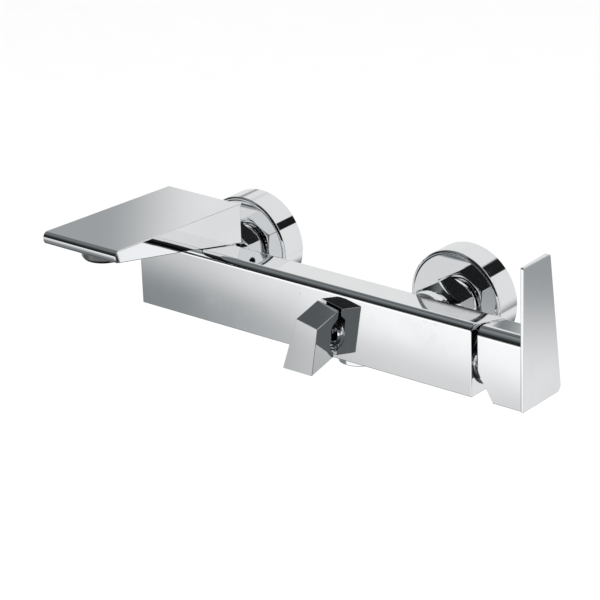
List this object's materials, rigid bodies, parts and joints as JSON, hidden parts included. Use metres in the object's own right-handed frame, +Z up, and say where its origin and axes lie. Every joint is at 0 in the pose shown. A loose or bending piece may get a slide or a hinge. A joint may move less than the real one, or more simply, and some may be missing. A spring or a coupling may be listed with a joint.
{
  "type": "wall mounted bath faucet",
  "caption": "Chrome wall mounted bath mixer: a rectangular bar with a wide wedge spout, a flat lever at its right end and a faceted knob that sends the water to the spout or the shower outlet.",
  "frame": {"origin": "on the finished wall, midway between the two inlets, at the height of the inlets", "axes": "+X along the bar towards the lever, the user's right; +Y into the wall; +Z up"},
  "size_m": [0.2724, 0.1682, 0.0905],
  "materials": {
    "chrome": "polished",
    "brass": "satin",
    "stainless_steel": "satin",
    "rubber": "matte",
    "ceramic": "satin",
    "plastic": "satin"
  },
  "bodies": {
    "base": {"aerator_housing": "chrome", "aerator_insert": "plastic", "aerator_seal": "rubber", "bar_body": "chrome", "cartridge_base": "plastic", "cartridge_fixed_disc": "ceramic", "cartridge_housing": "plastic", "cartridge_retaining_nut": "brass", "cartridge_seal": "rubber", "diverter_bonnet": "chrome", "diverter_o_ring": "rubber", "left_eccentric": "chrome", "left_end_plug": "chrome", "left_end_plug_seal": "rubber", "left_flange": "chrome", "left_flange_seal": "rubber", "left_inlet_gasket": "rubber", "left_inlet_nipple": "chrome", "left_strainer": "stainless_steel", "left_union_nut": "chrome", "right_eccentric": "chrome", "right_flange": "chrome", "right_flange_seal": "rubber", "right_inlet_gasket": "rubber", "right_inlet_nipple": "chrome", "right_strainer": "stainless_steel", "right_union_nut": "chrome", "shower_outlet": "chrome", "shower_outlet_seal": "rubber", "spout_body": "chrome", "spout_lock_screw": "stainless_steel", "spout_nipple": "brass", "spout_seal": "rubber", "trim_collar": "chrome"},
    "lever_turn": {"cartridge_guide": "plastic", "cartridge_pivot_pin": "stainless_steel"},
    "lever": {"cartridge_stem": "stainless_steel", "handle": "chrome", "handle_grub_screw": "stainless_steel", "handle_cap": "plastic"},
    "valve_disc": {"cartridge_disc_carrier": "plastic", "cartridge_moving_disc": "ceramic"},
    "diverter": {"diverter_knob": "chrome", "diverter_spindle": "stainless_steel", "diverter_rotor": "plastic", "knob_grub_screw": "stainless_steel"}
  },
  "joints": [
    {"name": "lever_turn", "type": "hinge", "parent": "base", "child": "lever_turn", "pos_m": [0.11357, -0.06035, -0.00121], "axis": [1, 0, 0], "range_deg": [-50, 50]},
    {"name": "lever_tilt", "type": "hinge", "parent": "lever_turn", "child": "lever", "pos_m": [0.11357, -0.06035, -0.00121], "axis": [0, 1, 0], "range_deg": [0, 20]},
    {"name": "valve_disc_slide", "type": "slide", "parent": "lever_turn", "child": "valve_disc", "axis": [0, 0, 1], "range_m": [0, 0.00262]},
    {"name": "diverter_turn", "type": "hinge", "parent": "base", "child": "diverter", "pos_m": [0.034, -0.0782, -0.0045], "axis": [0, 1, 0], "range_deg": [0, 90]}
  ],
  "couplings": [
    {"joint": "valve_disc_slide", "follows": "lever_tilt", "m_per_rad": 0.0074741}
  ]
}
